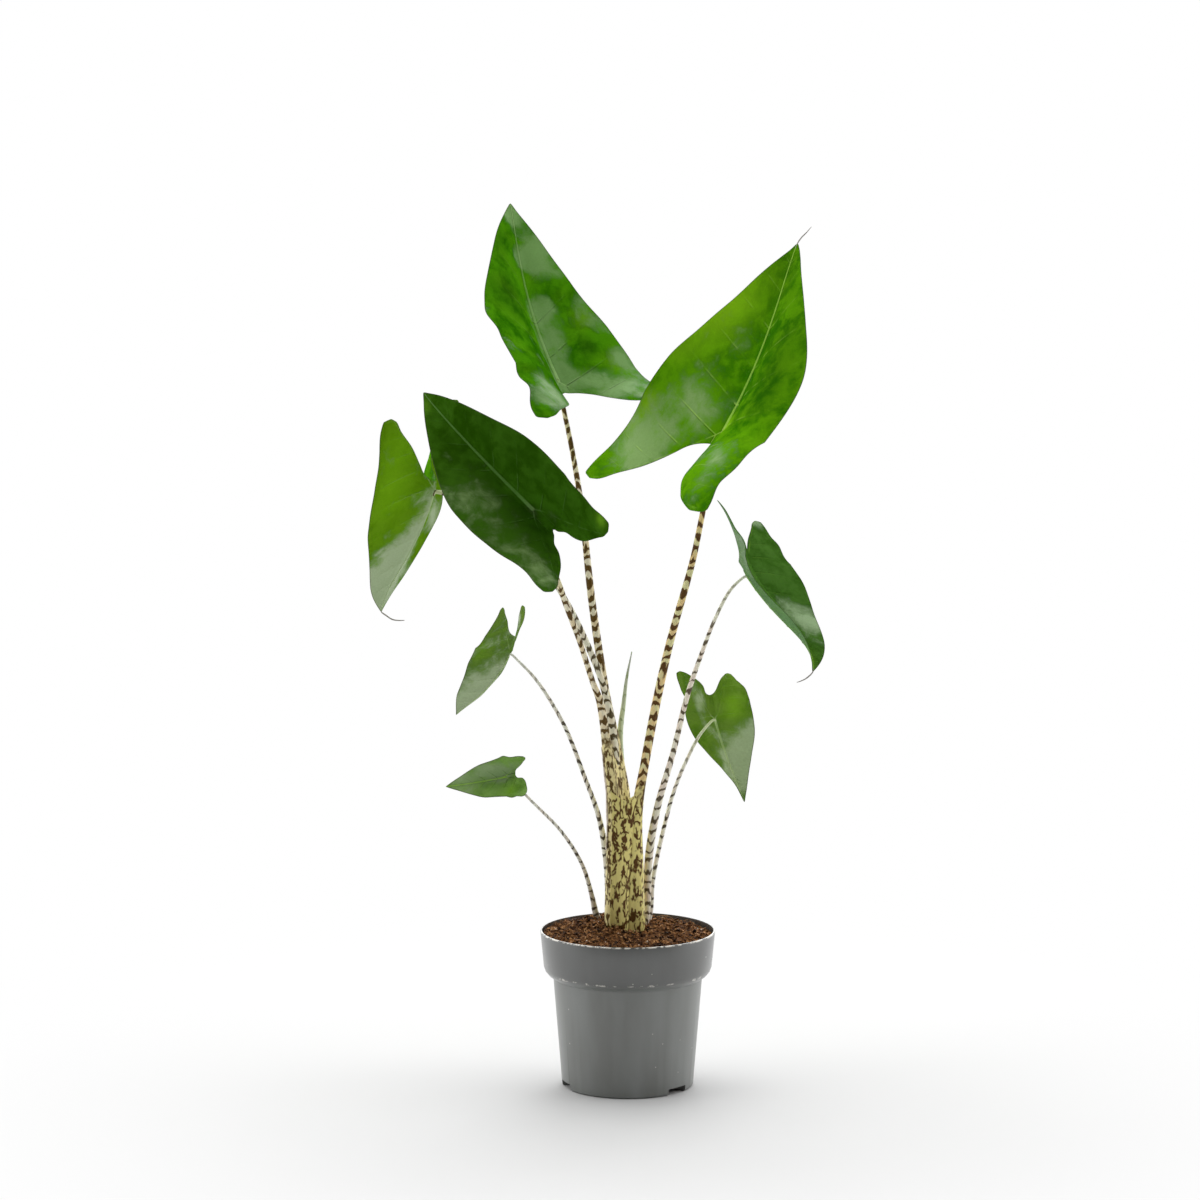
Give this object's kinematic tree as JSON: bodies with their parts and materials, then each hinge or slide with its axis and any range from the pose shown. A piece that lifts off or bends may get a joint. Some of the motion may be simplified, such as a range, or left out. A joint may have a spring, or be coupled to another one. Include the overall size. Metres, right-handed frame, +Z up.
{
  "type": "potted plant",
  "caption": "Potted zebrina alocasia: arrow-shaped green leaves on long zebra-banded stalks that rise from bark soil in a round plastic nursery pot, as a decorative houseplant",
  "frame": {"origin": "middle of the pot's foot, on the surface that the pot stands on", "axes": "+Z up; the picture looks along +Y, with +X to the right"},
  "size_m": [0.4332, 0.3283, 0.8521],
  "materials": {
    "pot": "satin moulded grey polypropylene, worn pale at the rim",
    "soil": "moist bark, coir and peat mix, rough",
    "corm": "fibrous brown corm, rough",
    "stalk": "smooth cream skin with dark brown zebra bands, semi-matte",
    "blade": "waxy green leaf with paler veins, semi-gloss",
    "new_leaf": "smooth pale green rolled leaf, semi-matte"
  },
  "bodies": {
    "root": {"pot": "pot", "soil": "soil", "corm": "corm", "new_leaf": "new_leaf", "stalk_a": "stalk", "stalk_b": "stalk", "stalk_c": "stalk", "stalk_d": "stalk", "stalk_e": "stalk", "stalk_f": "stalk", "stalk_g": "stalk", "stalk_h": "stalk", "blade_a": "blade", "blade_b": "blade", "blade_c": "blade", "blade_d": "blade", "blade_e": "blade", "blade_f": "blade", "blade_g": "blade", "blade_h": "blade"}
  },
  "joints": []
}
